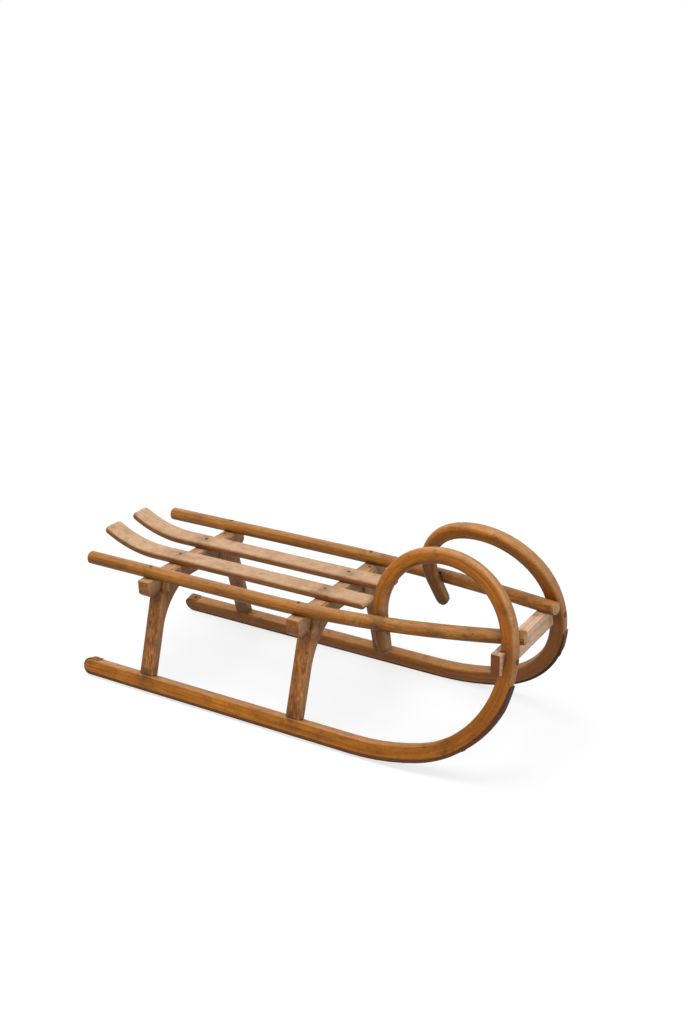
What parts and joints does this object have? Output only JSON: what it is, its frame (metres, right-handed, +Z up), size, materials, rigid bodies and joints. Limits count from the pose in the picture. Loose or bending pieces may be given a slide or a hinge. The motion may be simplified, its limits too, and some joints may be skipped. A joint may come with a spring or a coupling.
{
  "type": "horn sled",
  "caption": "Wooden sled on bent horn runners with steel shoes, leaning posts under cross-beams, upturned seat slats and round side rails, pulled over snow by its front bar",
  "frame": {"origin": "middle of the bounding box on the floor, under the middle of the sled", "axes": "+X forwards to the horns, +Y to the rider's left, +Z up"},
  "size_m": [0.8536, 0.3314, 0.3568],
  "materials": {
    "frame_wood": "worn honey-brown varnish",
    "seat_wood": "pale, worn and greyed",
    "shoe_steel": "dark rusted strip steel"
  },
  "bodies": {
    "root": {"runner_left": "frame_wood", "runner_right": "frame_wood", "post_rear_left": "frame_wood", "post_rear_right": "frame_wood", "post_mid_left": "frame_wood", "post_mid_right": "frame_wood", "bolster_rear": "frame_wood", "bolster_mid": "frame_wood", "rail_left": "frame_wood", "rail_right": "frame_wood", "front_bar": "frame_wood", "slat_left": "seat_wood", "slat_right": "seat_wood", "shoe_left": "shoe_steel", "shoe_right": "shoe_steel"}
  },
  "joints": []
}
